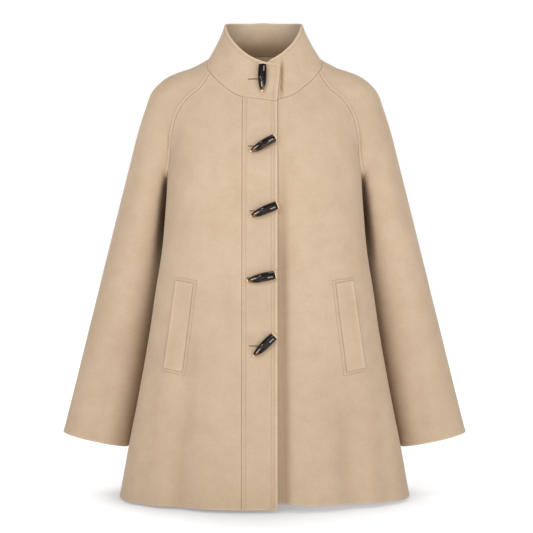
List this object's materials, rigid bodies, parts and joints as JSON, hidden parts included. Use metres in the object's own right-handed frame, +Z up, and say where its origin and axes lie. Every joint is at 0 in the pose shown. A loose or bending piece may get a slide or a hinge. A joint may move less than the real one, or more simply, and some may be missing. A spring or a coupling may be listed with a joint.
{
  "type": "overcoat",
  "caption": "Hip-length flared wool overcoat, filled out as if worn: raglan sleeves, stand collar, button band with horn toggles and slanted welt pockets.",
  "frame": {"origin": "base of the neck, midway between the shoulders, where the wearer carries the coat", "axes": "+Z up, the front faces -Y, +X towards the wearer's left sleeve"},
  "size_m": [0.727, 0.3397, 0.8592],
  "materials": {
    "cloth": "brushed wool melton, camel",
    "horn": "polished dark horn, amber at thin edges"
  },
  "bodies": {
    "root": {"front_right": "cloth", "front_band": "cloth", "front_left": "cloth", "back": "cloth", "sleeve_right_front": "cloth", "sleeve_right_back": "cloth", "sleeve_left_front": "cloth", "sleeve_left_back": "cloth", "collar": "cloth", "welt_right": "cloth", "welt_left": "cloth", "toggle_1": "horn", "toggle_2": "horn", "toggle_3": "horn", "toggle_4": "horn", "toggle_5": "horn"}
  },
  "joints": []
}
